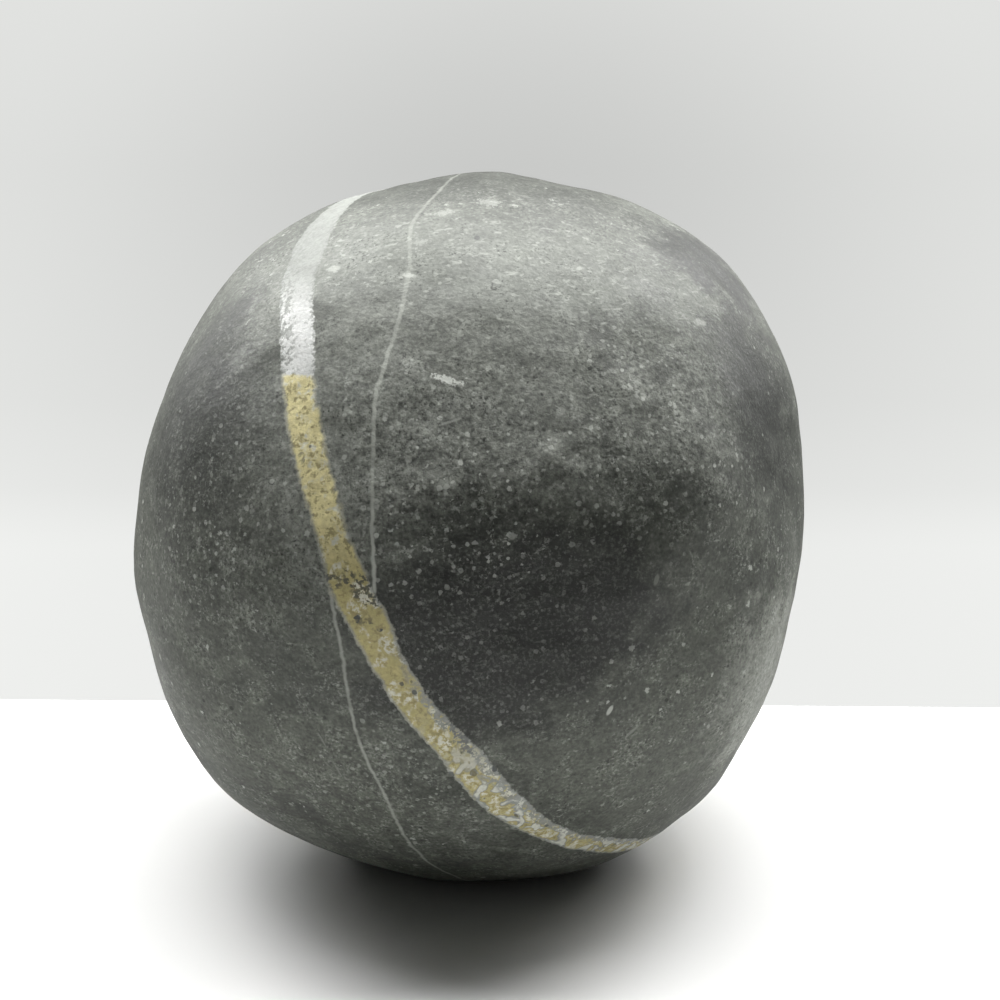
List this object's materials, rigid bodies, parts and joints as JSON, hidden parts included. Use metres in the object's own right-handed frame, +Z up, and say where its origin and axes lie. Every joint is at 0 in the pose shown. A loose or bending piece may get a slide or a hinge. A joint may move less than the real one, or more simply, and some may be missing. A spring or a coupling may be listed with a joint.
{
  "type": "shaligram stone",
  "caption": "Water-worn black limestone shaligram, a slightly boxy round boulder with a white and gold vein band and pale hairlines.",
  "frame": {"origin": "On the seat, under the middle of the stone's bounding box.", "axes": "+Z up from the seat. -Y is the face that carries the broad vein, +X is to the right of it."},
  "size_m": [0.0904, 0.088, 0.0933],
  "materials": {
    "stone": "matte, with a faint satin sheen from wear"
  },
  "bodies": {
    "root": {"stone": "stone"}
  },
  "joints": []
}
